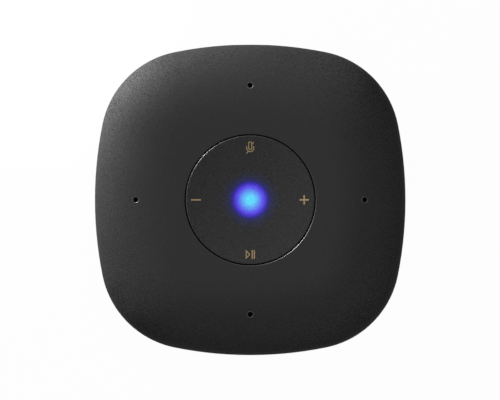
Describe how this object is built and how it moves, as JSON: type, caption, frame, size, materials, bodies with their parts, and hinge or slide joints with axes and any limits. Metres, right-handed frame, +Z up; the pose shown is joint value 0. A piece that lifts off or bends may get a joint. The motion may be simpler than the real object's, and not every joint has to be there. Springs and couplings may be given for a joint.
{
  "type": "conference speakerphone",
  "caption": "Soft-square table speakerphone with a rocking control disc round a status light, microphone ports in its crowned top and a down-firing loudspeaker behind a slotted band.",
  "frame": {"origin": "middle of the footprint, on the table under the foot ring", "axes": "+Z up through the control disc, +Y to the rear where the socket is, +X to the right"},
  "size_m": [0.12, 0.1199, 0.044],
  "materials": {
    "shell_plastic": "fine spark-eroded matte moulding",
    "disc_plastic": "fine spark-eroded matte moulding",
    "base_plastic": "matte moulding",
    "grille_plastic": "matte moulding",
    "mesh_steel": "black coated wire mesh",
    "foot_rubber": "soft matte",
    "inner_plastic": "plain moulding",
    "foam": "closed-cell foam",
    "screw_steel": "zinc plated",
    "board_laminate": "solder mask over glass laminate",
    "pin_plastic": "natural acetal",
    "diffuser_plastic": "frosted",
    "led_resin": "clear resin over a white body",
    "dome_steel": "spring sheet",
    "mic_can": "plated can",
    "gasket_silicone": "soft silicone",
    "mic_cloth": "black acoustic cloth",
    "motor_steel": "zinc plated",
    "magnet_ferrite": "sintered",
    "coil_copper": "enamelled wire",
    "cone_paper": "pressed fibre",
    "surround_rubber": "moulded",
    "spider_fibre": "resin-stiffened fibre",
    "terminal_board": "pressed board",
    "tag_brass": "stamped",
    "lead_sleeve": "insulated wire",
    "socket_plastic": "natural nylon",
    "can_steel": "tin plated",
    "tongue_plastic": "moulded with gold contacts",
    "ribbon_film": "polyester film"
  },
  "bodies": {
    "housing": {"top_shell": "shell_plastic", "base_cover": "base_plastic", "grille_band": "grille_plastic", "dust_mesh": "mesh_steel", "foot_ring": "foot_rubber", "baffle_plate": "inner_plastic", "sound_deflector": "inner_plastic", "gimbal_carrier": "inner_plastic", "speaker_frame": "inner_plastic", "chamber_seal": "foam", "speaker_gasket": "foam", "housing_screws": "screw_steel", "control_board_screws": "screw_steel", "speaker_screws": "screw_steel", "main_board_screws": "screw_steel", "control_board": "board_laminate", "main_board": "board_laminate", "status_led": "led_resin", "snap_dome_mute": "dome_steel", "snap_dome_volume_up": "dome_steel", "snap_dome_play": "dome_steel", "snap_dome_volume_down": "dome_steel", "mic_capsule_right": "mic_can", "mic_capsule_back": "mic_can", "mic_capsule_left": "mic_can", "mic_capsule_front": "mic_can", "mic_gasket_right": "gasket_silicone", "mic_gasket_back": "gasket_silicone", "mic_gasket_left": "gasket_silicone", "mic_gasket_front": "gasket_silicone", "mic_cloth_right": "mic_cloth", "mic_cloth_back": "mic_cloth", "mic_cloth_left": "mic_cloth", "mic_cloth_front": "mic_cloth", "front_plate": "motor_steel", "yoke": "motor_steel", "magnet_ring": "magnet_ferrite", "cone_surround": "surround_rubber", "cone_spider": "spider_fibre", "terminal_block": "terminal_board", "terminal_tags": "tag_brass", "speaker_lead": "lead_sleeve", "lead_plug": "socket_plastic", "ribbon_socket_lower": "socket_plastic", "ribbon_socket_upper": "socket_plastic", "shield_can": "can_steel", "usb_shell": "can_steel", "usb_tongue": "tongue_plastic", "ribbon_cable": "ribbon_film"},
    "gimbal": {"gimbal_ring": "pin_plastic"},
    "control_disc": {"control_disc": "disc_plastic", "light_diffuser": "diffuser_plastic"},
    "speaker_cone": {"speaker_cone": "cone_paper", "dust_cap": "cone_paper", "voice_coil": "coil_copper"}
  },
  "joints": [
    {"name": "rock_volume", "type": "hinge", "parent": "housing", "child": "gimbal", "pos_m": [0, 0, 0.037], "axis": [0, 1, 0], "range_deg": [-1, 1], "stiffness_Nm_per_rad": 1.5, "deforming": ["snap_dome_volume_up", "snap_dome_volume_down"]},
    {"name": "rock_mute_play", "type": "hinge", "parent": "gimbal", "child": "control_disc", "pos_m": [0, 0, 0.037], "axis": [1, 0, 0], "range_deg": [-1, 1], "stiffness_Nm_per_rad": 1.5, "deforming": ["snap_dome_mute", "snap_dome_play"]},
    {"name": "cone_excursion", "type": "slide", "parent": "housing", "child": "speaker_cone", "axis": [0, 0, -1], "range_m": [-0.0012, 0.0012], "stiffness_N_per_m": 900, "deforming": ["cone_surround", "cone_spider"]}
  ]
}
